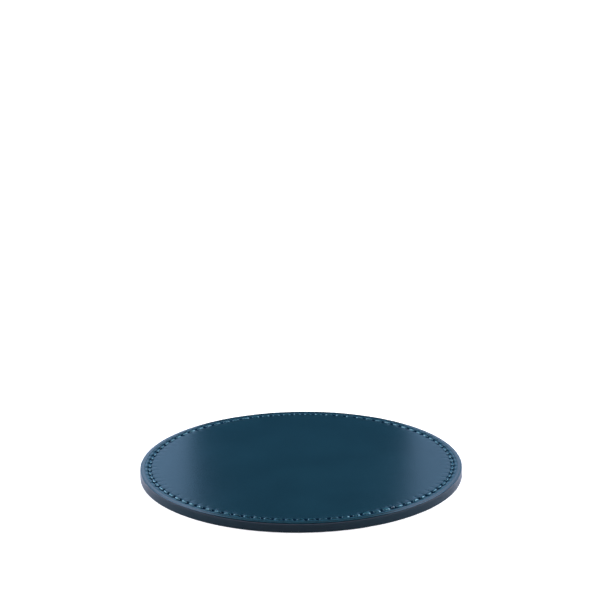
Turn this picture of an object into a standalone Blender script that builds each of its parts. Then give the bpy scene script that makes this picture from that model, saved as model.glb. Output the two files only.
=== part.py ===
"""Round drink coaster: two leather discs bonded to a core board and lockstitched together round the rim.

Metres, +Z up. The origin is the centre of the underside, on the surface that the coaster lies on.
The parts are drawn with the seam's first needle hole on +X, and one empty turns them all into place.
"""

import math

import bmesh
import bpy
from mathutils import Matrix, Vector

MM = 0.001

# Driving dimensions of the disc
DIAMETER = 100.0 * MM
THICKNESS = 3.3 * MM
LEATHER_THICKNESS = 1.1 * MM
BOND_FILM_THICKNESS = 0.06 * MM
EDGE_COAT_THICKNESS = 0.28 * MM
EDGE_COAT_BEVEL = 0.22 * MM
SHOULDER_DROP = 0.4 * MM
CLEARANCE = 0.02 * MM  # between pieces that touch

# Driving dimensions of the seam
STITCHES = 86
SEAM_INSET = 3.0 * MM
SEAM_START = math.radians(-53.2)  # where the sewing starts and ends, seen from above, from +X
BOND_MARGIN = 1.5 * MM  # from the edge of the glue to the middle of the seam
NEEDLE_RUN_RADIUS = 0.35 * MM
BOBBIN_RUN_RADIUS = 0.28 * MM
LOOP_RADIUS = 0.2 * MM  # both threads are squeezed to this inside the holes
NEEDLE_RUN_PROUD = 0.08 * MM  # top of a stitch above the show face
BOBBIN_RUN_SUNK = 0.1 * MM  # lowest point of a bobbin run above the table
NEEDLE_RUN_END = 0.55 * MM  # from a hole's centre, along the seam, to where a stitch dives
BOBBIN_RUN_END = 0.4 * MM  # from a hole's centre, outwards or inwards
GROOVE_SLOPE = 0.16 * MM  # how much wider a groove is at its mouth than at its floor, on each side
MITRE = math.cos(math.radians(45))  # a thread is this much flatter where it turns a corner

# Facets and shading
FILM_SIDES = 24
NEEDLE_SIDES = 5
BOBBIN_SIDES = 4
TOP_SHOULDER_STEPS = 3
BASE_SHOULDER_STEPS = 1
SHARP_ANGLE = math.radians(35)
MERGE_DISTANCE = 0.01 * MM

# Sizes that follow from them
RADIUS = DIAMETER / 2
CUT_RADIUS = RADIUS - EDGE_COAT_THICKNESS - CLEARANCE
SEAM_RADIUS = RADIUS - SEAM_INSET
STITCH_ANGLE = 2 * math.pi / STITCHES
LOCK_HEIGHT = THICKNESS / 2
LOOP_GAP = MITRE * LOOP_RADIUS + CLEARANCE / 2
LEG_OFFSET = LOOP_RADIUS + MITRE * LOOP_RADIUS + CLEARANCE
NEEDLE_RUN_HEIGHT = THICKNESS + NEEDLE_RUN_PROUD - MITRE * NEEDLE_RUN_RADIUS
BOBBIN_RUN_HEIGHT = BOBBIN_RUN_SUNK + MITRE * BOBBIN_RUN_RADIUS
TOP_GROOVE_DEPTH = THICKNESS - NEEDLE_RUN_HEIGHT + MITRE * NEEDLE_RUN_RADIUS + CLEARANCE
BASE_GROOVE_DEPTH = BOBBIN_RUN_HEIGHT + MITRE * BOBBIN_RUN_RADIUS + CLEARANCE
TOP_GROOVE_FLOOR = NEEDLE_RUN_RADIUS + 5 * CLEARANCE  # half width
BASE_GROOVE_FLOOR = BOBBIN_RUN_END + BOBBIN_RUN_RADIUS + 3 * CLEARANCE  # half width
CORE_LOW = LEATHER_THICKNESS + BOND_FILM_THICKNESS + 2 * CLEARANCE
CORE_HIGH = THICKNESS - CORE_LOW

# Needle holes, as half sizes along the seam and across it
TOP_HOLE = (NEEDLE_RUN_END + MITRE * NEEDLE_RUN_RADIUS + 2 * CLEARANCE, NEEDLE_RUN_RADIUS + CLEARANCE)
BASE_HOLE = (BOBBIN_RUN_RADIUS + CLEARANCE, BOBBIN_RUN_END + BOBBIN_RUN_RADIUS + CLEARANCE)
CORE_HOLE = (LEG_OFFSET + LOOP_RADIUS + 2 * CLEARANCE,) * 2

# Finishes, as colour and roughness
BLUE_LEATHER = ((0.012, 0.044, 0.068), 0.42)
BLUE_LEATHER_BACK = ((0.011, 0.036, 0.055), 0.55)
GREY_BOARD = ((0.21, 0.18, 0.145), 0.85)
CLEAR_GLUE = ((0.55, 0.46, 0.3), 0.4)
NEEDLE_TEAL = ((0.035, 0.125, 0.175), 0.55)
BOBBIN_TEAL = ((0.03, 0.11, 0.155), 0.6)
NAVY_PAINT = ((0.014, 0.022, 0.033), 0.48)


def clear_scene():
    for obj in list(bpy.data.objects):
        bpy.data.objects.remove(obj)


def finish(name, look):
    colour, roughness = look
    material = bpy.data.materials.new(name)
    material.use_nodes = True
    shader = material.node_tree.nodes["Principled BSDF"]
    shader.inputs["Base Color"].default_value = (*colour, 1)
    shader.inputs["Roughness"].default_value = roughness
    shader.inputs["Metallic"].default_value = 0
    return material


def place(obj, collection, frame):
    collection.objects.link(obj)
    obj.parent = frame
    return obj


def turned(name, profile, material, closed=False, sides=STITCHES):
    """Turns a profile of (radius, height) points about +Z, as a rule with one facet to a stitch."""
    outline = bpy.data.meshes.new(name)
    edges = [(i, i + 1) for i in range(len(profile) - 1)]
    if closed:
        edges.append((len(profile) - 1, 0))
    outline.from_pydata([(radius, 0, height) for radius, height in profile], edges, [])
    blank = bpy.data.objects.new(name, outline)
    bpy.context.scene.collection.objects.link(blank)
    screw = blank.modifiers.new("turn", "SCREW")
    screw.axis = "Z"
    screw.steps = sides
    screw.render_steps = sides
    screw.use_merge_vertices = True
    screw.merge_threshold = MERGE_DISTANCE
    graph = bpy.context.evaluated_depsgraph_get()
    mesh = bpy.data.meshes.new_from_object(blank.evaluated_get(graph))
    bpy.data.objects.remove(blank)
    bpy.data.meshes.remove(outline)
    mesh.name = name
    mesh.shade_smooth()
    mesh.set_sharp_from_angle(angle=SHARP_ANGLE)
    mesh.materials.clear()
    mesh.materials.append(material)
    return bpy.data.objects.new(name, mesh)


def shoulder(inner, face, into, steps):
    """The crowned land from the seam groove out to the cut edge: a quarter ellipse."""
    points = []
    for i in range(steps + 1):
        angle = math.pi / 2 * i / steps
        radius = inner + (CUT_RADIUS - inner) * math.sin(angle)
        points.append((radius, face + into * SHOULDER_DROP * (1 - math.cos(angle))))
    return points


def leather_profile(face, into, groove_depth, groove_floor, shoulder_steps):
    """From the centre of the outer face, over the seam groove and the shoulder, to the centre of the back.

    into is -1 where the leather lies below that face, and 1 where it lies above it.
    """
    groove_mouth = groove_floor + GROOVE_SLOPE
    floor = face + into * groove_depth
    back = face + into * LEATHER_THICKNESS
    return [
        (0, face),
        (SEAM_RADIUS - groove_mouth, face),
        (SEAM_RADIUS - groove_floor, floor),
        (SEAM_RADIUS + groove_floor, floor),
        *shoulder(SEAM_RADIUS + groove_mouth, face, into, shoulder_steps),
        (CUT_RADIUS, back),
        (0, back),
    ]


def disc_profile(radius, low, high):
    return [(0, high), (radius, high), (radius, low), (0, low)]


def edge_coat_profile():
    """A band with bevelled lips, its outer side first."""
    inner = CUT_RADIUS + CLEARANCE
    low = SHOULDER_DROP
    high = THICKNESS - SHOULDER_DROP
    return [
        (inner, high),
        (RADIUS, high - EDGE_COAT_BEVEL),
        (RADIUS, low + EDGE_COAT_BEVEL),
        (inner, low),
    ]


def hole_centre(hole):
    angle = hole * STITCH_ANGLE
    return SEAM_RADIUS * Vector((math.cos(angle), math.sin(angle), 0))


def hole_cutter(name, half_size, low, high, turn=0.0):
    """One block at every needle hole, from low to high, all in one mesh."""
    along, across = half_size
    blocks = bmesh.new()
    for hole in range(STITCHES):
        block = (
            Matrix.Rotation(hole * STITCH_ANGLE, 4, "Z")
            @ Matrix.Translation((SEAM_RADIUS, 0, (low + high) / 2))
            @ Matrix.Rotation(turn, 4, "Z")
            @ Matrix.Diagonal((2 * across, 2 * along, high - low, 1))
        )
        bmesh.ops.create_cube(blocks, size=1, matrix=block)
    mesh = bpy.data.meshes.new(name)
    blocks.to_mesh(mesh)
    blocks.free()
    cutter = bpy.data.objects.new(name, mesh)
    cutter.display_type = "WIRE"
    cutter.hide_render = True
    return cutter


def pierce(obj, cutter):
    holes = obj.modifiers.new("needle_holes", "BOOLEAN")
    holes.operation = "DIFFERENCE"
    holes.solver = "EXACT"
    holes.object = cutter


def beside_hole(hole, along, outward, height):
    """A point near a needle hole: along the chord to the next hole, or back if negative, and outward."""
    centre = hole_centre(hole)
    neighbour = hole_centre(hole + math.copysign(1, along))
    point = centre + abs(along) * (neighbour - centre).normalized() + outward * centre.normalized()
    point.z = height
    return point


def needle_path():
    """Straight stitches on the show face, with a loop down into every hole. Both ends are in the first."""
    bight = LOCK_HEIGHT - LOOP_GAP
    path = []
    for hole in range(STITCHES + 1):
        dive = (beside_hole(hole, -NEEDLE_RUN_END, 0, NEEDLE_RUN_HEIGHT), NEEDLE_RUN_RADIUS)
        left = (beside_hole(hole, -LEG_OFFSET, 0, bight), LOOP_RADIUS)
        right = (beside_hole(hole, LEG_OFFSET, 0, bight), LOOP_RADIUS)
        rise = (beside_hole(hole, NEEDLE_RUN_END, 0, NEEDLE_RUN_HEIGHT), NEEDLE_RUN_RADIUS)
        if hole > 0:
            path += [dive, left]
        if hole < STITCHES:
            path += [right, rise]
    return path


def bobbin_path():
    """Slanting stitches under the base, with a loop up into every hole, across the needle thread's loop."""
    bight = LOCK_HEIGHT + LOOP_GAP
    path = []
    for hole in range(STITCHES + 1):
        rise = (beside_hole(hole, 0, -BOBBIN_RUN_END, BOBBIN_RUN_HEIGHT), BOBBIN_RUN_RADIUS)
        inner = (beside_hole(hole, 0, -LEG_OFFSET, bight), LOOP_RADIUS)
        outer = (beside_hole(hole, 0, LEG_OFFSET, bight), LOOP_RADIUS)
        dive = (beside_hole(hole, 0, BOBBIN_RUN_END, BOBBIN_RUN_HEIGHT), BOBBIN_RUN_RADIUS)
        if hole > 0:
            path += [rise, inner]
        if hole < STITCHES:
            path += [outer, dive]
    return path


def thread_section(name, sides):
    """The polygon that a thread's curve sweeps, clockwise. Each point of the curve scales its 1 mm radius."""
    curve = bpy.data.curves.new(name, "CURVE")
    curve.dimensions = "2D"
    spline = curve.splines.new("POLY")
    spline.points.add(sides - 1)
    spline.use_cyclic_u = True
    for i, corner in enumerate(spline.points):
        angle = -2 * math.pi * i / sides
        corner.co = (MM * math.cos(angle), MM * math.sin(angle), 0, 1)
    section = bpy.data.objects.new(name, curve)
    section.display_type = "WIRE"
    section.hide_render = True
    return section


def thread(name, path, section, material):
    """A thread along (point, radius) pairs, open where the sewing starts and ends."""
    curve = bpy.data.curves.new(name, "CURVE")
    curve.dimensions = "3D"
    curve.bevel_mode = "OBJECT"
    curve.bevel_object = section
    curve.use_fill_caps = True
    spline = curve.splines.new("POLY")
    spline.points.add(len(path) - 1)
    for knot, (point, radius) in zip(spline.points, path):
        knot.co = (*point, 1)
        knot.radius = radius / MM
    curve.materials.append(material)
    return bpy.data.objects.new(name, curve)


def build():
    clear_scene()
    coaster = bpy.data.collections.new("round_coaster")
    helpers = bpy.data.collections.new("cutters_and_sections")
    bpy.context.scene.collection.children.link(coaster)
    bpy.context.scene.collection.children.link(helpers)
    frame = bpy.data.objects.new("coaster_frame", None)
    frame.rotation_euler.z = SEAM_START
    coaster.objects.link(frame)

    top_profile = leather_profile(
        THICKNESS, -1, TOP_GROOVE_DEPTH, TOP_GROOVE_FLOOR, TOP_SHOULDER_STEPS
    )
    base_profile = leather_profile(
        0, 1, BASE_GROOVE_DEPTH, BASE_GROOVE_FLOOR, BASE_SHOULDER_STEPS
    )
    core_profile = disc_profile(CUT_RADIUS, CORE_LOW, CORE_HIGH)
    film_radius = SEAM_RADIUS - BOND_MARGIN
    lower_film = LEATHER_THICKNESS + CLEARANCE
    upper_film = CORE_HIGH + CLEARANCE
    upper_profile = disc_profile(film_radius, upper_film, upper_film + BOND_FILM_THICKNESS)
    lower_profile = disc_profile(film_radius, lower_film, lower_film + BOND_FILM_THICKNESS)
    needle_section = place(thread_section("needle_section", NEEDLE_SIDES), helpers, frame)
    bobbin_section = place(thread_section("bobbin_section", BOBBIN_SIDES), helpers, frame)

    blue = finish("blue_leather", BLUE_LEATHER)
    blue_back = finish("blue_leather_back", BLUE_LEATHER_BACK)
    board = finish("grey_board", GREY_BOARD)
    upper_glue = finish("upper_glue", CLEAR_GLUE)
    lower_glue = finish("lower_glue", CLEAR_GLUE)
    needle_teal = finish("needle_thread_teal", NEEDLE_TEAL)
    bobbin_teal = finish("bobbin_thread_teal", BOBBIN_TEAL)
    paint = finish("edge_paint", NAVY_PAINT)

    top = turned("top_leather", top_profile, blue)
    upper_bond = turned("upper_bond_film", upper_profile, upper_glue, sides=FILM_SIDES)
    core = turned("core_board", core_profile, board)
    lower_bond = turned("lower_bond_film", lower_profile, lower_glue, sides=FILM_SIDES)
    base = turned("base_leather", base_profile[::-1], blue_back)
    needle = thread("needle_thread", needle_path(), needle_section, needle_teal)
    bobbin = thread("bobbin_thread", bobbin_path(), bobbin_section, bobbin_teal)
    edge = turned("edge_coat", edge_coat_profile(), paint, closed=True)
    for part in (top, upper_bond, core, lower_bond, base, needle, bobbin, edge):
        place(part, coaster, frame)

    top_floor = THICKNESS - TOP_GROOVE_DEPTH
    top_holes = hole_cutter("top_holes", TOP_HOLE, LOCK_HEIGHT, top_floor + CLEARANCE)
    core_holes = hole_cutter("core_holes", CORE_HOLE, 0, THICKNESS, turn=math.radians(45))
    base_holes = hole_cutter("base_holes", BASE_HOLE, BASE_GROOVE_DEPTH - CLEARANCE, LOCK_HEIGHT)
    for part, cutter in ((top, top_holes), (core, core_holes), (base, base_holes)):
        pierce(part, place(cutter, helpers, frame))


build()
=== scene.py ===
"""Looks of the round leather coaster: sewn leather faces, twisted threads and a painted edge.

Metres, +Z up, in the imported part's own frame. Needle holes are numbered along the seam from SEAM_START, and a
stitch has the number of the hole that it starts from.
"""

import math
from collections import namedtuple

import bpy
from mathutils import Matrix, Vector


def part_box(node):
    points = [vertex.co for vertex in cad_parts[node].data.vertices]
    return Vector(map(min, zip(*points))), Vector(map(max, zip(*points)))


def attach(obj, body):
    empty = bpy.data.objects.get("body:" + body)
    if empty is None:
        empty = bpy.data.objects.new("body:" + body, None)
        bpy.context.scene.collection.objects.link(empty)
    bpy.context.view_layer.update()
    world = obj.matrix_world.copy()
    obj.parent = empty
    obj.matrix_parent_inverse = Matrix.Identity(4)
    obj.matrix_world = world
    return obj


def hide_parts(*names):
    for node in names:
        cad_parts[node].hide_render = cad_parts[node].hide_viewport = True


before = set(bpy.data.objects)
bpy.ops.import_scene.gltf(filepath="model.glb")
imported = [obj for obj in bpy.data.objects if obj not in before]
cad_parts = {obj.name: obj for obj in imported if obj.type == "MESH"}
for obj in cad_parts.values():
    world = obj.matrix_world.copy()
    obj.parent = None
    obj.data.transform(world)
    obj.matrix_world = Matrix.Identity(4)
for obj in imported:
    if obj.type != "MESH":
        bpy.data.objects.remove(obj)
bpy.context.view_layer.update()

MM = 0.001
TAU = 2 * math.pi

# Sizes from the frame
SHOW_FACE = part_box("top_leather")[1].z
SHOW_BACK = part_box("top_leather")[0].z
BASE_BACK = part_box("base_leather")[1].z
BASE_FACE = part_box("base_leather")[0].z
STITCH_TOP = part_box("needle_thread")[1].z
BOBBIN_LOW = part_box("bobbin_thread")[0].z
RIM_RADIUS = min(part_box("edge_coat")[1].xy)
CUT_RADIUS = min(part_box("top_leather")[1].xy)
LOCK_HEIGHT = (SHOW_FACE + BASE_FACE) / 2  # where the two threads hold each other

# The seam, with the number of stitches, the start and the radius of the part
STITCHES = 86
SEAM_START = math.radians(-53.2)
SEAM_RADIUS = 47.0 * MM
STITCH_LENGTH = 2 * SEAM_RADIUS * math.sin(math.pi / STITCHES)
SEAM_GAP = 0.42  # share of a stitch that is left between the end of the seam and its start
CREEP_FIRST, CREEP_LAST = 68, 78  # holes between which the stitches are shorter and leave that gap
TACK_STITCHES = 3  # sewn back beside the last stitches, to lock the seam
TACK_SHIFT = 0.42 * MM

SEAM = {
    "stitches": STITCHES, "seam_start": SEAM_START, "seam_radius": SEAM_RADIUS,
    "seam_gap": SEAM_GAP, "creep_first": CREEP_FIRST, "creep_last": CREEP_LAST,
}
WHOLE_SEAM = {"first_hole": 0, "holes": STITCHES, "shift": 0.0}
SEAM_HOLES = {**WHOLE_SEAM, "holes": STITCHES + 1}
TACK_RUN = {"first_hole": STITCHES - TACK_STITCHES, "holes": TACK_STITCHES, "shift": -TACK_SHIFT}
TACK_HOLES = {**TACK_RUN, "holes": TACK_STITCHES + 1}
SEAM_END = {"first_hole": STITCHES, "holes": 1, "shift": -TACK_SHIFT}

# Leather: start and drop are the inner radius and the height of the rounded shoulder, and lap is how far
# round it the edge paint reaches
Face = namedtuple("Face", "height back facing start drop lap")
SHOW = Face(SHOW_FACE, SHOW_BACK, 1.0, SEAM_RADIUS + 0.7 * MM, 0.50 * MM, math.radians(66))
BASE = Face(BASE_FACE, BASE_BACK, -1.0, SEAM_RADIUS + 1.9 * MM, 0.25 * MM, math.radians(40))
CREASE_RADIUS = SEAM_RADIUS + 1.5 * MM
COLUMNS_PER_STITCH = 14
COLUMN_CROWDING = 0.5  # 0 spaces the columns of faces evenly, and 1 gathers them at the needle holes
SEAM_SIDE = SEAM_RADIUS - 1.2 * MM  # where the rows begin that are fine enough for the seam
FACE_ROWS = ((36 * MM, 9 * MM), (43 * MM, 2.5 * MM), (SEAM_SIDE, 0.35 * MM))  # as outer radius and spacing
SEAM_ROWS = 0.1 * MM
BACK_ROWS = (CUT_RADIUS, SEAM_SIDE, 20 * MM, 0)
SHOULDER_ROWS = math.radians(4.5)
AWL_SIDES = 12

# Edge paint: its looks fade in and out between these heights above the lock and these radii
PAINT_SKIN = 0.01 * MM
BAND_COLUMNS = 1032
LAP_STEPS = 14
WALL_ROWS = 0.3 * MM
BEAD_FADE = (0.85 * MM, 1.15 * MM)
LAP_FADE = (1.36 * MM, 1.50 * MM)
FILM_FADE_IN = (48.50 * MM, 48.95 * MM)
FILM_FADE_OUT = (49.64 * MM, 49.46 * MM)

# Threads
NEEDLE_RADIUS = 0.34 * MM
BOBBIN_RADIUS = 0.27 * MM
NEEDLE_PROUD = 0.13 * MM  # how far the soft needle thread stands above its CAD solid
PLIES = 3
PLY_SIDES = 6
PLY_GROOVE = 0.15  # depth of the grooves between the plies, as a share of the thread's radius
STITCH_STEPS = 46
STITCH_TWISTS = 2.2  # turns of a ply over the whole path of a stitch
SQUEEZE = 0.64  # a thread's size inside the needle holes, as a share of its full size
LEG_OFFSET = 0.36 * MM
LOOP_GAP = 0.15 * MM
HOLE_FADE = (1.62 * MM, 1.30 * MM)  # distances from the lock between which a thread takes on painted shade in its hole

# Meshes
SMOOTH_ANGLE = math.radians(42)
WELD = 0.002 * MM

# Patterns, as scales per metre
LEATHER_WAVE_SCALE = 70.0
PAINT_WAVE_SCALE = 130.0
PAINT_RIPPLE_SCALE = 900.0
CLOUD_SCALE = 55.0
MOTTLE_SCALE = 420.0
GRAIN_SCALE = 1900.0
GRAIN_BEND_SCALE = 900.0
SPECK_SCALE = 2600.0
FIBRE_SCALE = 900.0
FLECK_SCALE = 320.0
BRUSH_SCALE = 700.0
FILAMENT_SCALES = (900.0, 6.0, 50.0)  # per metre of thread, per ply round it and per stitch's shade
STREAK_SCALES = (9.0, 3200.0, 2000.0)  # per radian round the rim, and per metre up it and outwards

# Patterns, as depths and widths
GRAIN_BEND = 0.6 * MM
GRAIN_DEPTH = 0.012 * MM
FILAMENT_DEPTH = 0.02 * MM
STREAK_DEPTH = 0.02 * MM
FIBRE_DEPTH = 0.05 * MM
BRUSH_DEPTH = 0.02 * MM
RUBBED_SHEEN_FADE = (SEAM_RADIUS + 0.4 * MM, SEAM_RADIUS + 1.2 * MM)  # radii where the rubbed leather, partly wear and partly painted sheen, begins
HOLE_SHADE_WIDTH = 0.9 * MM  # to each side of the seam

# Finishes, as linear colours
LEATHER_BLUE = (0.0115, 0.0540, 0.0880, 1)
LEATHER_DEEP = (0.0090, 0.0450, 0.0750, 1)
LEATHER_WORN_SHEEN = (0.0390, 0.1330, 0.2060, 1)
# Painted shade, for the needle holes, the crease and the board along the seam
HOLE_SHADE_NAVY = (0.0015, 0.0210, 0.0620, 1)
BASE_BLUE = (0.0130, 0.0460, 0.0720, 1)
BASE_DEEP = (0.0090, 0.0340, 0.0550, 1)
BASE_WORN_SHEEN = (0.0220, 0.0660, 0.0980, 1)
THREAD_TEAL = (0.0060, 0.0700, 0.1100, 1)
THREAD_SHADE = (0.0030, 0.0440, 0.0740, 1)
THREAD_GLINT = (0.4200, 0.7500, 1.0000, 1)
TACK_CYAN = (0.0120, 0.2000, 0.2700, 1)
TACK_SHADE = (0.0020, 0.0480, 0.0750, 1)
SEALED_MAUVE = (0.1100, 0.1150, 0.1800, 1)
SEALED_BROWN = (0.0600, 0.0620, 0.0950, 1)
EDGE_NAVY = (0.0130, 0.0305, 0.0450, 1)
EDGE_THIN = (0.0175, 0.0400, 0.0580, 1)
EDGE_DEEP = (0.0020, 0.0160, 0.0280, 1)
EDGE_LAP = (0.0140, 0.0610, 0.0940, 1)
EDGE_GLINT = (0.9200, 0.8800, 1.0000, 1)
LAP_GLINT = (1.0000, 0.7200, 0.6600, 1)
BOARD_GREY = (0.2100, 0.1800, 0.1450, 1)
BOARD_PALE = (0.2700, 0.2350, 0.1900, 1)
BOARD_FLECK = (0.1200, 0.1000, 0.0800, 1)
GLUE_AMBER = (0.5500, 0.4600, 0.3000, 1)
GLUE_THIN = (0.4200, 0.3300, 0.2000, 1)
FLOOR_PALE = (0.8600, 0.8650, 0.8700, 1)
FLOOR_SEEN = (0.6400, 0.6400, 0.6600, 1)
FLOOR_GLOW = (0.5000, 0.5200, 0.8000, 1)
SKY_LOW = (0.0120, 0.0140, 0.0160, 1)
SKY_HIGH = (0.0500, 0.0600, 0.0700, 1)
WHITE = (1, 1, 1, 1)
BLACK = (0, 0, 0, 1)


class Wire:
    """One output of a node. Arithmetic on wires adds Math nodes to the tree that they run in."""

    def __init__(self, tree, socket=None):
        self.tree = tree
        self.socket = socket

    def node(self, kind, settings=None, sockets=None):
        """Adds a node: settings first, then the values or links of its sockets. Gives its outputs by name."""
        made = self.tree.nodes.new(kind)
        for name, value in (settings or {}).items():
            setattr(made, name, value)
        for key, value in (sockets or {}).items():
            socket = made.inputs[key] if isinstance(key, int) else self.live(made.inputs, key)
            if isinstance(value, Wire):
                self.tree.links.new(value.socket, socket)
            else:
                socket.default_value = value
        return {out.name: Wire(self.tree, out) for out in made.outputs if out.enabled}

    @staticmethod
    def live(sockets, name):
        return next(socket for socket in sockets if socket.enabled and socket.name == name)

    def math(self, operation, *others):
        """A Math node of this wire and the others, in that order."""
        sockets = dict(enumerate((self, *others)))
        return self.node("ShaderNodeMath", {"operation": operation}, sockets)["Value"]

    def vector(self, operation, *others):
        sockets = dict(enumerate((self, *others)))
        return self.node("ShaderNodeVectorMath", {"operation": operation}, sockets)["Vector"]

    def scaled(self, factor):
        return self.node("ShaderNodeVectorMath", {"operation": "SCALE"}, {0: self, "Scale": factor})["Vector"]

    def step(self, low, high):
        """0 at low and 1 at high, with a smooth change between them."""
        sockets = {"Value": self, "From Min": low, "From Max": high}
        return self.node("ShaderNodeMapRange", {"interpolation_type": "SMOOTHSTEP"}, sockets)["Result"]

    def bell(self, half_width, power=2):
        """1 where this wire is 0, falling to 0 on both sides."""
        return (((self / half_width).math("ABSOLUTE") ** power) * -1.0).math("EXPONENT")

    def colours(self, none, full):
        """A colour between two, by this wire's value."""
        sockets = {"Factor": self, "A": none, "B": full}
        return self.node("ShaderNodeMix", {"data_type": "RGBA"}, sockets)["Result"]

    def parts(self):
        made = self.node("ShaderNodeSeparateXYZ", None, {"Vector": self})
        return made["X"], made["Y"], made["Z"]

    def joined(self, **parts):
        """A vector of the parts X, Y and Z, where a part that isn't given is 0."""
        return self.node("ShaderNodeCombineXYZ", None, parts)["Vector"]

    def noise(self, scale, detail=2.0, roughness=0.5, output="Fac"):
        sockets = {"Vector": self, "Scale": scale, "Detail": detail, "Roughness": roughness}
        return self.node("ShaderNodeTexNoise", None, sockets)[output]

    def __add__(self, other):
        return self.math("ADD", other)

    def __sub__(self, other):
        return self.math("SUBTRACT", other)

    def __rsub__(self, other):
        return self * -1.0 + other

    def __mul__(self, other):
        return self.math("MULTIPLY", other)

    def __truediv__(self, other):
        return self.math("DIVIDE", other)

    def __rtruediv__(self, other):
        return self ** -1.0 * other

    def __pow__(self, other):
        return self.math("POWER", other)

    __radd__ = __add__
    __rmul__ = __mul__


def from_axis(x, y):
    """Distance from the part's upright axis."""
    return (x * x + y * y).math("SQRT")


def round_axis(angle, radius, height):
    """The place at an angle, a distance and a height about the part's upright axis."""
    return angle.joined(X=angle.math("COSINE") * radius, Y=angle.math("SINE") * radius, Z=height)


# Geometry Nodes

SOCKET_KINDS = {
    int: "NodeSocketInt",
    float: "NodeSocketFloat",
    bpy.types.Material: "NodeSocketMaterial",
}
SEAM_SIZES = {
    "stitches": int, "seam_start": float, "seam_radius": float,
    "seam_gap": float, "creep_first": int, "creep_last": int,
}
RUN_SIZES = {**SEAM_SIZES, "first_hole": int, "holes": int, "shift": float}


class Recipe:
    """A Geometry Nodes tree with a named input for each of its sizes."""

    def __init__(self, name, **sizes):
        self.tree = bpy.data.node_groups.new(name, "GeometryNodeTree")
        sockets = self.tree.interface
        sockets.new_socket("Geometry", in_out="INPUT", socket_type="NodeSocketGeometry")
        for size, kind in {**sizes, "material": bpy.types.Material}.items():
            sockets.new_socket(size, in_out="INPUT", socket_type=SOCKET_KINDS[kind])
        sockets.new_socket("Geometry", in_out="OUTPUT", socket_type="NodeSocketGeometry")
        self.start = Wire(self.tree)
        self.inputs = self.start.node("NodeGroupInput")

    def __getitem__(self, size):
        return self.inputs[size]

    def field(self, kind):
        """The one output of an input node, such as the position or the index of each point."""
        return next(iter(self.start.node(kind).values()))

    def random(self, number, low, high, seed_step=0):
        """A value between low and high for each number."""
        sockets = {"Min": low, "Max": high, "ID": number, "Seed": self["seed"] + seed_step}
        return number.node("FunctionNodeRandomValue", {"data_type": "FLOAT"}, sockets)["Value"]

    def stored(self, geometry, domain, **values):
        """Keeps values as named attributes of the geometry, for the finishes."""
        for name, value in values.items():
            settings = {"data_type": "FLOAT", "domain": domain}
            sockets = {"Geometry": geometry, "Name": name, "Value": value}
            geometry = geometry.node("GeometryNodeStoreNamedAttribute", settings, sockets)["Geometry"]
        return geometry

    def moved(self, geometry, **sockets):
        return geometry.node("GeometryNodeSetPosition", None, {"Geometry": geometry, **sockets})["Geometry"]

    def crept(self, hole):
        """How far a hole lies before its regular place, as a share of a stitch."""
        return hole.step(self["creep_first"], self["creep_last"]) * self["seam_gap"]

    def along_seam(self, instance, height, turn, scale=(1, 1, 1)):
        """Sets an instance at each hole of a run, turned about +Z from the seam's angle there."""
        index = self.field("GeometryNodeInputIndex")
        hole = self["first_hole"] + index
        angle = self["seam_start"] + (hole - self.crept(hole)) * (TAU / self["stitches"])
        radius = self["seam_radius"] + self["shift"]
        place = round_axis(angle, radius, height)
        points = index.node("GeometryNodePoints", None, {"Count": self["holes"], "Position": place})["Points"]
        euler = {"Euler": index.joined(Z=angle + turn)}
        rotation = index.node("FunctionNodeEulerToRotation", None, euler)["Rotation"]
        sockets = {"Points": points, "Instance": instance, "Rotation": rotation, "Scale": scale}
        return index.node("GeometryNodeInstanceOnPoints", None, sockets)["Instances"]

    def close(self, geometry):
        """Ends the tree: instances become real, and the material goes on."""
        real = geometry.node("GeometryNodeRealizeInstances", None, {"Geometry": geometry})["Geometry"]
        sockets = {"Geometry": real, "Material": self["material"]}
        dressed = real.node("GeometryNodeSetMaterial", None, sockets)["Geometry"]
        dressed.node("NodeGroupOutput", None, {"Geometry": dressed})
        return self

    def put_on(self, obj, **values):
        modifier = obj.modifiers.new(self.tree.name, "NODES")
        modifier.node_group = self.tree
        for item in self.tree.interface.items_tree:
            if item.in_out == "INPUT" and item.name in values:
                modifier[item.identifier] = values[item.name]


def turned_recipe():
    """Turns a half section, drawn as (radius, 0, height), about +Z. Its columns crowd at the needle holes."""
    recipe = Recipe("turned_section", stitches=int, seam_start=float, columns=int, crowding=float)
    section = recipe["Geometry"]
    settings = {"component": "MESH"}
    rows = section.node("GeometryNodeAttributeDomainSize", settings, {"Geometry": section})["Point Count"]
    sockets = {"Vertices X": recipe["columns"] + 1, "Vertices Y": rows}
    grid = section.node("GeometryNodeMeshGrid", None, sockets)["Mesh"]
    index = recipe.field("GeometryNodeInputIndex")
    column = ((index + 0.5) / rows).math("FLOOR")
    settings = {"data_type": "FLOAT_VECTOR", "domain": "POINT"}
    sockets = {
        "Geometry": section,
        "Value": recipe.field("GeometryNodeInputPosition"),
        "Index": index - column * rows,
    }
    radius, _, height = section.node("GeometryNodeSampleIndex", settings, sockets)["Value"].parts()
    stitch = column * (recipe["stitches"] / recipe["columns"])
    stitch = stitch - (stitch * TAU).math("SINE") * recipe["crowding"] / TAU
    angle = recipe["seam_start"] + stitch * (TAU / recipe["stitches"])
    turned = recipe.moved(grid, Position=round_axis(angle, radius, height))
    sockets = {"Geometry": turned, "Distance": WELD}
    closed = turned.node("GeometryNodeMergeByDistance", None, sockets)["Geometry"]
    return recipe.close(closed.node("GeometryNodeFlipFaces", None, {"Mesh": closed})["Mesh"])


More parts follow.
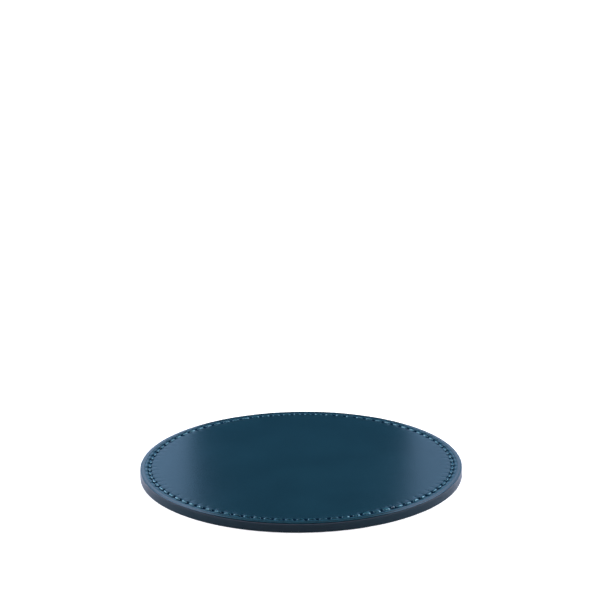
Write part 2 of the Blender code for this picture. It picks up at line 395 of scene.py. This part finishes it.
def seam_relief_recipe():
    """Pulls the seam into a leather face: a valley, a funnel at each hole, puckers and a crease beside it."""
    recipe = Recipe(
        "seam_relief", **SEAM_SIZES, middle=float, facing=float, tack_stitches=int, tack_shift=float,
        valley_depth=float, valley_width=float, funnel_depth=float, funnel_length=float, funnel_width=float,
        pucker_depth=float, pucker_width=float, pucker_inward=float, pucker_outward=float, pucker_lean=float,
        outer_pull=float, crease_depth=float, crease_width=float, crease_radius=float,
        waviness=float, seed=int,
    )
    place = recipe.field("GeometryNodeInputPosition")
    x, y, z = place.parts()
    radius = from_axis(x, y)
    across = radius - recipe["seam_radius"]
    turns = (y.math("ARCTAN2", x) - recipe["seam_start"]) * recipe["stitches"] / TAU
    half_gap = recipe["seam_gap"] * 0.5
    turns = (turns + half_gap).math("FLOORED_MODULO", recipe["stitches"]) - half_gap
    turns = turns + recipe.crept(turns + recipe.crept(turns))
    hole = turns.math("ROUND")
    along = (turns - hole) * (TAU / recipe["stitches"]) * recipe["seam_radius"]
    number = hole.math("FLOORED_MODULO", recipe["stitches"])

    tack_start = recipe["stitches"] - recipe["tack_stitches"]
    tacked = turns.step(tack_start - 0.3, tack_start - 0.15)
    beside = across + recipe["tack_shift"]

    def seam_and_tack(width, power):
        return across.bell(width, power).math("MAXIMUM", beside.bell(width, power) * tacked)

    valley = seam_and_tack(recipe["valley_width"], 2)
    funnel = along.bell(recipe["funnel_length"], 3) * seam_and_tack(recipe["funnel_width"], 3)
    outside = across.math("GREATER_THAN", 0.0)
    reach = recipe["pucker_inward"] + outside * (recipe["pucker_outward"] - recipe["pucker_inward"])
    lean = recipe.random(number, -1.0, 1.0) * recipe["pucker_lean"]
    pull = recipe.random(number, 0.6, 1.3, seed_step=1) * (1 + outside * (recipe["outer_pull"] - 1))
    pucker = (along - across * lean).bell(recipe["pucker_width"]) * across.bell(reach, 2.5) * pull
    crease = (radius - recipe["crease_radius"]).bell(recipe["crease_width"])
    waves = place.noise(LEATHER_WAVE_SCALE, 1.0)

    sunk = valley * recipe["valley_depth"] + funnel * recipe["funnel_depth"] + pucker * recipe["pucker_depth"]
    sunk = sunk + crease * recipe["crease_depth"] + waves * recipe["waviness"]
    on_face = ((z - recipe["middle"]) * recipe["facing"]).math("GREATER_THAN", 0.0)
    # Masks for the painted shade in the needle holes and the crease
    geometry = recipe.stored(
        recipe["Geometry"], "POINT",
        hole_shade=funnel * on_face, crease_shade=crease * on_face,
    )
    inward = place.joined(Z=sunk * on_face * recipe["facing"] * -1.0)
    return recipe.close(recipe.moved(geometry, Offset=inward))


def needle_hole_recipe():
    """Cuts a run of needle holes right through a leather disc."""
    recipe = Recipe(
        "needle_holes", **RUN_SIZES, height=float, depth=float, hole_length=float, hole_width=float,
    )
    sockets = {"Vertices": AWL_SIDES, "Radius": 1.0, "Depth": recipe["depth"]}
    awl = recipe.start.node("GeometryNodeMeshCylinder", {"fill_type": "NGON"}, sockets)["Mesh"]
    size = awl.joined(X=recipe["hole_width"], Y=recipe["hole_length"], Z=1.0)
    awls = recipe.along_seam(awl, recipe["height"], 0.0, size)
    settings = {"operation": "DIFFERENCE", "solver": "MANIFOLD"}
    sockets = {"Mesh 1": recipe["Geometry"], "Mesh 2": awls}
    return recipe.close(awls.node("GeometryNodeMeshBoolean", settings, sockets)["Mesh"])


def sewn_thread_recipe():
    """Sets the path of a stitch at each hole of a run and sweeps a thread of twisted plies along it."""
    recipe = Recipe(
        "sewn_thread", **RUN_SIZES, steps=int, plies=int, twists=float, radius=float, groove=float,
        sides=int, sway=float, seed=int,
    )
    start = recipe.start
    stray = recipe.random(recipe.field("GeometryNodeInputIndex"), -1.0, 1.0)
    turn = math.pi / 2 + math.pi / recipe["stitches"] + stray * recipe["sway"]
    laid = recipe.along_seam(recipe["Geometry"], 0.0, turn)
    paths = laid.node("GeometryNodeRealizeInstances", None, {"Geometry": laid})["Geometry"]
    paths = paths.node("GeometryNodeResampleCurve", None, {"Curve": paths, "Count": recipe["steps"]})["Curve"]
    shade = recipe.random(recipe.field("GeometryNodeInputIndex"), 0.0, 1.0, seed_step=1)
    paths = recipe.stored(paths, "CURVE", stitch_shade=shade)
    run = start.node("GeometryNodeSplineParameter")
    paths = recipe.stored(paths, "POINT", thread_length=run["Length"])

    sockets = {"Curve": paths, "Tilt": run["Factor"] * recipe["twists"] * TAU}
    twisted = paths.node("GeometryNodeSetCurveTilt", None, sockets)["Curve"]

    sockets = {"Resolution": recipe["plies"] * recipe["sides"], "Radius": recipe["radius"]}
    ring = start.node("GeometryNodeCurvePrimitiveCircle", None, sockets)["Curve"]
    around = start.node("GeometryNodeSplineParameter")["Factor"] * recipe["plies"]
    ring = recipe.stored(ring, "POINT", round_ply=around)
    lobes = 1 - (1 - (around * TAU).math("COSINE")) * 0.5 * recipe["groove"]
    ring = recipe.moved(ring, Position=recipe.field("GeometryNodeInputPosition").scaled(lobes))
    size = recipe.field("GeometryNodeInputRadius")
    sockets = {"Curve": twisted, "Profile Curve": ring, "Scale": size, "Fill Caps": True}
    return recipe.close(start.node("GeometryNodeCurveToMesh", None, sockets)["Mesh"])


def uneven_recipe():
    """Makes a painted band slightly uneven, inwards from its outline and in height."""
    recipe = Recipe("uneven_band", depth=float, lip_depth=float)
    place = recipe.field("GeometryNodeInputPosition")
    x, y, _ = place.parts()
    slow = place.noise(PAINT_WAVE_SCALE)
    quick = place.noise(PAINT_RIPPLE_SCALE, 1.0)
    sunk = (slow * 0.7 + quick * 0.3) * recipe["depth"]
    inward = place.joined(X=x, Y=y).vector("NORMALIZE").scaled(sunk * -1.0)
    dip = place.joined(Z=(slow - 0.5) * recipe["lip_depth"] * -1.0)
    return recipe.close(recipe.moved(recipe["Geometry"], Offset=inward.vector("ADD", dip)))


TURNED = turned_recipe()
RELIEF = seam_relief_recipe()
HOLES = needle_hole_recipe()
THREAD = sewn_thread_recipe()
UNEVEN = uneven_recipe()


# Pieces

def placed(name, data):
    """A new object in the scene."""
    obj = bpy.data.objects.new(name, data)
    bpy.context.scene.collection.objects.link(obj)
    return obj


def section_object(name, points, closed=False):
    """A half section as a chain of edges, for turning."""
    mesh = bpy.data.meshes.new(name)
    chain = list(points) + ([points[0]] if closed else [])
    edges = [(i, i + 1) for i in range(len(chain) - 1)]
    mesh.from_pydata([(radius, 0, height) for radius, height in chain], edges, [])
    return placed(name, mesh)


def path_object(name, points):
    """The path of one stitch as a smooth curve along (along, inward, height, size) control points."""
    curve = bpy.data.curves.new(name, "CURVE")
    curve.dimensions = "3D"
    spline = curve.splines.new("NURBS")
    spline.points.add(len(points) - 1)
    spline.order_u = 4
    spline.use_endpoint_u = True
    for control, (along, inward, height, size) in zip(spline.points, points):
        control.co = (along, inward, height, 1)
        control.radius = size
    return placed(name, curve)


def finished(obj, name, slot, *nodes):
    """Turns a modelled object into a plain mesh piece that stands for its CAD nodes, if it has any."""
    evaluated = obj.evaluated_get(bpy.context.evaluated_depsgraph_get())
    mesh = bpy.data.meshes.new_from_object(evaluated)
    mesh.name = name
    mesh.shade_smooth()
    mesh.set_sharp_from_angle(angle=SMOOTH_ANGLE)
    bpy.data.objects.remove(obj)
    piece = placed(name, mesh)
    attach(piece, "root")
    if nodes:
        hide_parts(*nodes)
    return piece


def spread(first, last, step):
    """Evenly spaced values from first up to, but not including, last."""
    count = max(1, round(abs(last - first) / step))
    return [first + (last - first) * i / count for i in range(count)]


def shoulder(face, turn):
    """The point of a rounded shoulder at a turn from 0, on the face, to a right angle, on the cut edge."""
    radius = face.start + (CUT_RADIUS - face.start) * math.sin(turn)
    return radius, face.height - face.facing * face.drop * (1 - math.cos(turn))


def leather_section(face):
    """Half section of a leather disc, from the middle of its face, over its shoulder, to that of its back."""
    rows, inner = [], 0
    for outer, spacing in (*FACE_ROWS, (face.start, SEAM_ROWS)):
        rows += [(radius, face.height) for radius in spread(inner, outer, spacing)]
        inner = outer
    rows += [shoulder(face, turn) for turn in spread(0, math.pi / 2, SHOULDER_ROWS)]
    rows += [shoulder(face, math.pi / 2)]
    rows += [(radius, face.back) for radius in BACK_ROWS]
    return rows


def leather_disc(name, face, relief, material):
    """A leather disc with the seam's relief in its face, before its needle holes are cut."""
    disc = section_object(name, leather_section(face))
    TURNED.put_on(
        disc, stitches=STITCHES, seam_start=SEAM_START, columns=STITCHES * COLUMNS_PER_STITCH,
        crowding=COLUMN_CROWDING, material=material,
    )
    middle = (face.height + face.back) / 2
    RELIEF.put_on(disc, **SEAM, middle=middle, facing=face.facing, material=material, **relief)
    return disc


def show_leather(material):
    relief = {
        "tack_stitches": TACK_STITCHES, "tack_shift": TACK_SHIFT,
        "valley_depth": 0.10 * MM, "valley_width": 0.80 * MM,
        "funnel_depth": 0.45 * MM, "funnel_length": 0.76 * MM, "funnel_width": 0.56 * MM,
        "pucker_depth": 0.085 * MM, "pucker_width": 0.42 * MM, "outer_pull": 1.9,
        "pucker_inward": 2.2 * MM, "pucker_outward": 1.6 * MM, "pucker_lean": 0.15,
        "crease_depth": 0.05 * MM, "crease_width": 0.14 * MM, "crease_radius": CREASE_RADIUS,
        "waviness": 0.03 * MM, "seed": 4,
    }
    hole = {
        "hole_length": 0.72 * MM, "hole_width": 0.44 * MM,
        "height": SHOW_BACK, "depth": 3 * (SHOW_FACE - SHOW_BACK),
    }
    disc = leather_disc("show_leather_blank", SHOW, relief, material)
    for run in (SEAM_HOLES, TACK_HOLES):
        HOLES.put_on(disc, **SEAM, **run, **hole, material=material)
    finished(disc, "show_leather_disc", "show_leather", "top_leather")


def base_leather(material):
    relief = {
        "tack_stitches": 0, "tack_shift": 0.0,
        "valley_depth": 0.50 * MM, "valley_width": 0.80 * MM,
        "funnel_depth": 0.15 * MM, "funnel_length": 0.55 * MM, "funnel_width": 0.55 * MM,
        "pucker_depth": 0.05 * MM, "pucker_width": 0.62 * MM, "outer_pull": 1.0,
        "pucker_inward": 1.5 * MM, "pucker_outward": 1.0 * MM, "pucker_lean": 0.2,
        "crease_depth": 0.0, "crease_width": 0.14 * MM, "crease_radius": CREASE_RADIUS,
        "waviness": 0.0, "seed": 7,
    }
    hole = {
        "hole_length": 0.32 * MM, "hole_width": 0.66 * MM,
        "height": BASE_BACK, "depth": 3 * (BASE_BACK - BASE_FACE),
    }
    disc = leather_disc("base_leather_blank", BASE, relief, material)
    HOLES.put_on(disc, **SEAM, **SEAM_HOLES, **hole, material=material)
    finished(disc, "base_leather_disc", "base_leather", "base_leather")


def edge_band(material):
    """Edge paint that covers the cut edges and laps over both shoulders, where it dries in a bead."""
    thickness = RIM_RADIUS - CUT_RADIUS - 2 * PAINT_SKIN
    outers, inners = [], []
    for face in (SHOW, BASE):
        for step in range(LAP_STEPS + 1):
            share = step / LAP_STEPS
            turn = math.pi / 2 - face.lap * (1 - share)
            coat = thickness * share * share * (3 - 2 * share)
            radius, height = shoulder(face, turn)
            slope = (math.sin(turn) / (CUT_RADIUS - face.start), math.cos(turn) / face.drop)
            out = Vector(slope).normalized()
            for side, lift in ((outers, coat + PAINT_SKIN), (inners, PAINT_SKIN)):
                side.append((radius + out.x * lift, height + face.facing * out.y * lift))
    top, low = outers[:LAP_STEPS + 1], outers[:LAP_STEPS:-1]
    wall = [(top[-1][0], height) for height in spread(top[-1][1], low[0][1], WALL_ROWS)[1:]]
    points = top + wall + low + inners[LAP_STEPS + 2:] + inners[LAP_STEPS:0:-1]
    band = section_object("edge_band_blank", points, closed=True)
    TURNED.put_on(
        band, stitches=STITCHES, seam_start=SEAM_START, columns=BAND_COLUMNS, crowding=0.0, material=material,
    )
    UNEVEN.put_on(band, depth=0.05 * MM, lip_depth=0.05 * MM, material=material)
    return finished(band, "edge_paint_band", "edge_paint", "edge_coat")


def plied(radius, twists, steps):
    """Sizes of a thread of bonded plies."""
    return {
        "plies": PLIES, "sides": PLY_SIDES, "groove": PLY_GROOVE,
        "radius": radius, "twists": twists, "steps": steps,
    }


def turned_round(half, across=1):
    """The half path of a stitch as it runs into its second hole."""
    return [
        (STITCH_LENGTH - along, inward * across, height, size)
        for along, inward, height, size in reversed(half)
    ]


def needle_path(name):
    """Runs on the show face between the holes, with a loop down into each hole to the lock."""
    bight = LOCK_HEIGHT - LOOP_GAP
    run = STITCH_TOP + NEEDLE_PROUD - NEEDLE_RADIUS
    leg = [
        (0, 0, bight, SQUEEZE),
        (0.25 * MM, 0, bight, SQUEEZE),
        (LEG_OFFSET, 0, bight + 0.2 * MM, SQUEEZE),
        (LEG_OFFSET, 0, bight + 0.75 * MM, SQUEEZE),
    ]
    rising = leg + [
        (0.50 * MM, 0, run - 0.72 * MM, 0.8),
        (0.72 * MM, 0, run - 0.44 * MM, 0.95),
        (1.02 * MM, 0, run - 0.05 * MM, 1.0),
        (1.40 * MM, 0, run, 1.0),
    ]
    falling = leg + [
        (0.46 * MM, 0, run - 0.74 * MM, 0.8),
        (0.62 * MM, 0, run - 0.44 * MM, 0.95),
        (0.88 * MM, 0, run - 0.06 * MM, 1.0),
        (1.30 * MM, 0, run, 1.0),
    ]
    return path_object(name, rising + turned_round(falling))


def needle_thread(material):
    path = needle_path("needle_path")
    plies = plied(NEEDLE_RADIUS, STITCH_TWISTS, STITCH_STEPS)
    THREAD.put_on(path, **SEAM, **WHOLE_SEAM, **plies, sway=0.02, seed=11, material=material)
    return finished(path, "needle_stitches", "seam_thread", "needle_thread")


def back_tack(material):
    """The stitches that go back beside the end of the seam."""
    path = needle_path("tack_path")
    plies = plied(NEEDLE_RADIUS, STITCH_TWISTS, STITCH_STEPS)
    THREAD.put_on(path, **SEAM, **TACK_RUN, **plies, sway=0.03, seed=390, material=material)
    return finished(path, "tack_stitches", "seam_thread")


def sealed_end(material):
    """The cut end of the needle thread, singed into a bead that lies in the groove by the first stitch."""
    run = STITCH_TOP + NEEDLE_PROUD - NEEDLE_RADIUS
    points = [
        (0.40 * MM, 0, run - 1.1 * MM, SQUEEZE),
        (0.44 * MM, 0, run - 0.6 * MM, SQUEEZE),
        (0.56 * MM, 0, run - 0.14 * MM, 0.85),
        (0.78 * MM, 0, run, 0.95),
        (1.05 * MM, 0, run, 1.0),
        (1.25 * MM, 0, run, 1.0),
        (1.38 * MM, 0, run - 0.02 * MM, 0.9),
        (1.43 * MM, 0, run - 0.02 * MM, 0.3),
    ]
    path = path_object("sealed_end_path", points)
    plies = plied(NEEDLE_RADIUS, twists=0.8, steps=22)
    THREAD.put_on(path, **SEAM, **SEAM_END, **plies, sway=0.0, seed=14, material=material)
    return finished(path, "sealed_thread_end", "seam_thread")


def bobbin_thread(material):
    """Runs slantwise under the base, with a loop up into each hole to the lock."""
    bight = LOCK_HEIGHT + LOOP_GAP
    run = BOBBIN_LOW + BOBBIN_RADIUS + 0.01 * MM
    half = [
        (0, 0, bight, SQUEEZE),
        (0, -0.25 * MM, bight, SQUEEZE),
        (0, -LEG_OFFSET, bight - 0.2 * MM, SQUEEZE),
        (0, -LEG_OFFSET, bight - 0.7 * MM, SQUEEZE),
        (0, -0.36 * MM, run + 0.4 * MM, 0.8),
        (0.12 * MM, -0.37 * MM, run + 0.1 * MM, 0.95),
        (0.45 * MM, -0.33 * MM, run, 1.0),
        (0.95 * MM, -0.20 * MM, run, 1.0),
    ]
    path = path_object("bobbin_path", half + turned_round(half, -1))
    plies = plied(BOBBIN_RADIUS, STITCH_TWISTS, STITCH_STEPS)
    THREAD.put_on(path, **SEAM, **WHOLE_SEAM, **plies, sway=0.01, seed=12, material=material)
    return finished(path, "bobbin_stitches", "seam_thread", "bobbin_thread")


# Finishes

def new_finish(name):
    material = bpy.data.materials.new(name)
    material.use_nodes = True
    material.node_tree.nodes.clear()
    return material, Wire(material.node_tree)


def coating(start, **sockets):
    """A shader whose sockets are named in words joined by underscores."""
    named = {name.replace("_", " "): value for name, value in sockets.items()}
    return start.node("ShaderNodeBsdfPrincipled", None, named)["BSDF"]


def blended(share, none, full):
    """Two shaders in one, where the second shows by its share."""
    return share.node("ShaderNodeMixShader", None, {0: share, 1: none, 2: full})["Shader"]


def surfaced(shader):
    """Ends a finish with its shader."""
    shader.node("ShaderNodeOutputMaterial", None, {"Surface": shader})


def dress(start, **sockets):
    """Ends a finish with one plain coating."""
    surfaced(coating(start, **sockets))


def dress_with_holes(start, sunk, **sockets):
    """Ends a finish that gives way to dull navy, painted shade, where it is sunk in a needle hole."""
    hole_shade_coat = coating(start, Base_Color=HOLE_SHADE_NAVY, Roughness=1.0, Specular_IOR_Level=0.0)
    surfaced(blended(sunk, coating(start, **sockets), hole_shade_coat))


def object_place(start):
    return start.node("ShaderNodeTexCoord")["Object"]


def attribute(start, name):
    return start.node("ShaderNodeAttribute", {"attribute_name": name})["Fac"]


def bumped(height, distance, strength):
    sockets = {"Strength": strength, "Distance": distance, "Height": height}
    return height.node("ShaderNodeBump", None, sockets)["Normal"]


def stretched(place, scale):
    return place.node("ShaderNodeMapping", None, {"Vector": place, "Scale": scale})["Vector"]


def leather_finish(name, blue, deep, worn_sheen, gloss):
    """Dyed leather: cloudy colour, fine pebbled grain, painted shade in the needle holes and the crease, and a
    lighter shoulder of rubbed wear with painted sheen.
    """
    material, start = new_finish(name)
    place = object_place(start)
    x, y, _ = place.parts()
    radius = from_axis(x, y)
    clouds = place.noise(CLOUD_SCALE, 3.0)
    mottle = place.noise(MOTTLE_SCALE, 3.0, 0.6)
    bent = place.vector("ADD", place.noise(GRAIN_BEND_SCALE, 1.0, output="Color").scaled(GRAIN_BEND))
    settings = {"feature": "DISTANCE_TO_EDGE"}
    cells = bent.node("ShaderNodeTexVoronoi", settings, {"Vector": bent, "Scale": GRAIN_SCALE})["Distance"]
    pebbles = cells.step(0.0, 0.35)

    colour = clouds.step(0.3, 0.7).colours(deep, blue)
    # Lighter towards the shoulder: partly rubbed wear, partly painted sheen
    rubbed_sheen = radius.step(*RUBBED_SHEEN_FADE) * mottle.step(0.2, 0.7)
    colour = (rubbed_sheen * 0.8).colours(colour, worn_sheen)
    colour = ((1 - pebbles) * 0.3).colours(colour, deep)
    # Painted shade in the crease beside the seam
    colour = (attribute(start, "crease_shade") * 0.2).colours(colour, HOLE_SHADE_NAVY)
    rough = gloss + (mottle - 0.5) * 0.10 + (1 - pebbles) * 0.05
    normal = bumped(pebbles * 0.7 + mottle * 0.5, GRAIN_DEPTH, 0.45)
    # Painted shade in the needle holes
    sunk = attribute(start, "hole_shade").step(0.08, 0.40)
    dress_with_holes(start, sunk, Base_Color=colour, Roughness=rough, Normal=normal, IOR=1.47)
    return material


def thread_finish(name, shade, teal):
    """Twisted polyester: fine filaments along each ply, a shade of colour for every stitch, painted shade
    inside the holes.
    """
    material, start = new_finish(name)
    _, _, z = object_place(start).parts()
    own_shade = attribute(start, "stitch_shade")
    along, around, apart = FILAMENT_SCALES
    filaments = start.joined(
        X=attribute(start, "thread_length") * along,
        Y=attribute(start, "round_ply") * around,
        Z=own_shade * apart,
    ).noise(1.0)
    colour = (own_shade * 0.5 + filaments * 0.6).step(0.15, 1.0).colours(shade, teal)
    # Painted shade on the thread where it goes down into its hole
    sunk = (z - LOCK_HEIGHT).math("ABSOLUTE").step(*HOLE_FADE)
    normal = bumped(filaments, FILAMENT_DEPTH, 0.4)
    dress_with_holes(
        start, sunk, Base_Color=colour, Roughness=0.30 + filaments * 0.12, Normal=normal,
        IOR=1.85, Specular_IOR_Level=1.0, Specular_Tint=THREAD_GLINT,
    )
    return material


def edge_finish():
    """Satin edge paint, streaked along the rim, with a glossy bead and a thin film on the upper shoulder."""
    material, start = new_finish("navy_edge_paint")
    place = object_place(start)
    x, y, z = place.parts()
    radius = from_axis(x, y)
    around, up, out = STREAK_SCALES
    streaks = start.joined(X=y.math("ARCTAN2", x) * around, Y=z * up, Z=radius * out).noise(1.0, 3.0, 0.6)
    specks = place.noise(SPECK_SCALE)
    above = z - LOCK_HEIGHT
    bead = above.step(*BEAD_FADE)
    lap = above.step(*LAP_FADE)
    flat = bead * radius.step(*FILM_FADE_IN) * radius.step(*FILM_FADE_OUT)
    colour = (streaks.step(0.35, 0.75) * 0.6).colours(EDGE_NAVY, EDGE_THIN)
    colour = (bead * 0.9).colours(colour, EDGE_DEEP)
    colour = lap.colours(colour, EDGE_LAP)
    normal = bumped(streaks * 0.7 + specks * 0.3, STREAK_DEPTH, 0.4)
    rough = 0.26 + streaks * 0.14
    wall = coating(start, Base_Color=colour, Roughness=rough, Normal=normal, Specular_IOR_Level=0.1)
    ridge = coating(
        start, Base_Color=colour, Roughness=rough * 0.5, Normal=normal,
        Specular_IOR_Level=0.9, Specular_Tint=EDGE_GLINT,
    )
    film = coating(
        start, Base_Color=colour, Roughness=rough * 0.5, Normal=normal,
        IOR=1.78, Specular_IOR_Level=1.0, Specular_Tint=LAP_GLINT,
    )
    surfaced(blended(flat, blended(bead * 0.55, wall, ridge), film))
    return material


def board_finish():
    """Raw grey fibre board with flecks, and painted shade along the seam where the needle holes go through it.
    """
    material, start = new_finish("grey_fibre_board")
    place = object_place(start)
    fibres = stretched(place, (1.0, 1.0, 6.0)).noise(FIBRE_SCALE, 4.0, 0.65)
    flecks = place.noise(FLECK_SCALE).step(0.6, 0.75)
    colour = flecks.colours(fibres.step(0.3, 0.8).colours(BOARD_GREY, BOARD_PALE), BOARD_FLECK)
    x, y, _ = place.parts()
    # Painted shade in the needle holes through the board
    colour = (from_axis(x, y) - SEAM_RADIUS).bell(HOLE_SHADE_WIDTH, 4).colours(colour, HOLE_SHADE_NAVY)
    normal = bumped(fibres, FIBRE_DEPTH, 0.6)
    dress(start, Base_Color=colour, Roughness=0.8 + fibres * 0.15, Normal=normal)
    return material


def glue_finish():
    """Dried contact glue, brushed on in streaks."""
    material, start = new_finish("dried_contact_glue")
    streaks = stretched(object_place(start), (1.0, 0.12, 1.0)).noise(BRUSH_SCALE, 3.0)
    colour = streaks.step(0.3, 0.7).colours(GLUE_AMBER, GLUE_THIN)
    normal = bumped(streaks, BRUSH_DEPTH, 0.5)
    dress(start, Base_Color=colour, Roughness=0.3 + streaks * 0.25, Normal=normal)
    return material


# Stage

def floor():
    """A pale floor that keeps the shadow, looks white to the camera and glows bluish in the pieces' shine."""
    half, level = 4.0, -0.02 * MM
    mesh = bpy.data.meshes.new("pale_floor")
    corners = [(x * half, y * half, level) for x, y in ((-1, -1), (1, -1), (1, 1), (-1, 1))]
    mesh.from_pydata(corners, [], [(0, 1, 2, 3)])
    obj = placed("pale_floor", mesh)
    material, start = new_finish("pale_floor")
    path = start.node("ShaderNodeLightPath")
    mirrored = path["Is Glossy Ray"].math("MAXIMUM", path["Is Transmission Ray"])
    seen = path["Is Camera Ray"].math("MAXIMUM", mirrored)
    dress(
        start, Base_Color=seen.colours(FLOOR_PALE, WHITE), Roughness=1.0, Specular_IOR_Level=0.0,
        Emission_Color=seen.colours(BLACK, mirrored.colours(FLOOR_SEEN, FLOOR_GLOW)), Emission_Strength=1.0,
    )
    mesh.materials.append(material)


def soft_box(name, place, size, power, colour=(1, 1, 1), aim=(0, 0, 0)):
    """A lamp that the camera doesn't see."""
    light = bpy.data.lights.new(name, "AREA")
    light.shape = "RECTANGLE"
    light.size, light.size_y = size
    light.energy = power
    light.color = colour
    obj = placed(name, light)
    obj.location = place
    obj.rotation_euler = (Vector(aim) - Vector(place)).to_track_quat("-Z", "Y").to_euler()
    obj.visible_camera = False
    return obj


def shine_box(pieces, name, **lamp):
    """A soft box that gives shine and no other light, to the pieces of one collection."""
    obj = soft_box(name, **lamp)
    obj.visible_diffuse = False
    obj.light_linking.receiver_collection = pieces


def lights(threads, edges):
    """Soft boxes from overhead and from the sides, and boxes for the shine.

    Flat leather would mirror the side boxes as a white sheet, so they give no shine. The threads and the edge
    paint have boxes of their own for that, and the leather has a bluish pair behind it.
    """
    soft_box("overhead_box", (0, -0.1, 1.6), size=(1.8, 1.8), power=0.6, colour=(0.85, 0.95, 1.0))
    for name, side, back, gloss in (("left", -1, 0.15, 0.145), ("right", 1, 0.08, 0.125)):
        side_box = soft_box(
            f"{name}_side_box", (side * 0.85, back, 0.42), size=(0.7, 0.5), power=10.5,
            colour=(1.0, 0.99, 1.0),
        )
        side_box.visible_glossy = False
        shine_box(
            threads, f"{name}_thread_box", place=(side * 0.83, back, 0.41), size=(0.7, 0.5), power=9.6,
        )
        shine_box(
            edges, f"{name}_edge_box", place=(side * 0.52, 0.27, 0.53), size=(0.46, 0.48), power=3.0,
            colour=(0.62, 0.77, 1.0),
        )
        soft_box(
            f"{name}_gloss_box", (side * 0.1645, 0.15, 0.095), size=(0.25, 0.18), power=gloss,
            colour=(0.44, 0.66, 1.0), aim=(side * 0.1645, 0, 0.095),
        )


def sky():
    """A dim world that is a little brighter overhead."""
    world = bpy.data.worlds.new("studio")
    world.use_nodes = True
    world.node_tree.nodes.clear()
    start = Wire(world.node_tree)
    _, _, up = start.node("ShaderNodeTexCoord")["Generated"].parts()
    glow = up.step(0.42, 1.0).colours(SKY_LOW, SKY_HIGH)
    back = start.node("ShaderNodeBackground", None, {"Color": glow, "Strength": 1.0})["Background"]
    start.node("ShaderNodeOutputWorld", None, {"Surface": back})
    bpy.context.scene.world = world


def collected(name, *pieces):
    """A collection of pieces, for the lamps that shine only on them."""
    made = bpy.data.collections.new(name)
    for piece in pieces:
        made.objects.link(piece)
    return made


def camera():
    """The view of the photograph: about 20 degrees above the coaster, from a metre away."""
    lens = bpy.data.cameras.new("camera")
    lens.lens = 202.75
    lens.sensor_width = 36.0
    lens.clip_start = 0.01
    obj = placed("camera", lens)
    place = Vector((0.00019, -0.98574, 0.36794))
    pitch = math.radians(72.483)
    roll = math.radians(-0.57)
    turn = Matrix.Rotation(pitch, 4, "X") @ Matrix.Rotation(roll, 4, "Z")
    obj.matrix_world = Matrix.Translation(place) @ turn
    bpy.context.scene.camera = obj


bpy.context.scene.view_settings.view_transform = "Standard"
camera()
floor()
sky()

show_leather(leather_finish("blue_show_leather", LEATHER_BLUE, LEATHER_DEEP, LEATHER_WORN_SHEEN, 0.18))
base_leather(leather_finish("blue_base_leather", BASE_BLUE, BASE_DEEP, BASE_WORN_SHEEN, 0.55))
edges = collected("edges", edge_band(edge_finish()))
teal_thread = thread_finish("twisted_teal_thread", THREAD_SHADE, THREAD_TEAL)
threads = collected(
    "threads",
    needle_thread(teal_thread),
    bobbin_thread(teal_thread),
    back_tack(thread_finish("cyan_tack_thread", TACK_SHADE, TACK_CYAN)),
    sealed_end(thread_finish("singed_thread_end", SEALED_BROWN, SEALED_MAUVE)),
)
glue = glue_finish()
carried = {"core_board": board_finish(), "upper_bond_film": glue, "lower_bond_film": glue}
for node, material in carried.items():
    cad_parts[node].data.materials.clear()
    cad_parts[node].data.materials.append(material)
lights(threads, edges)
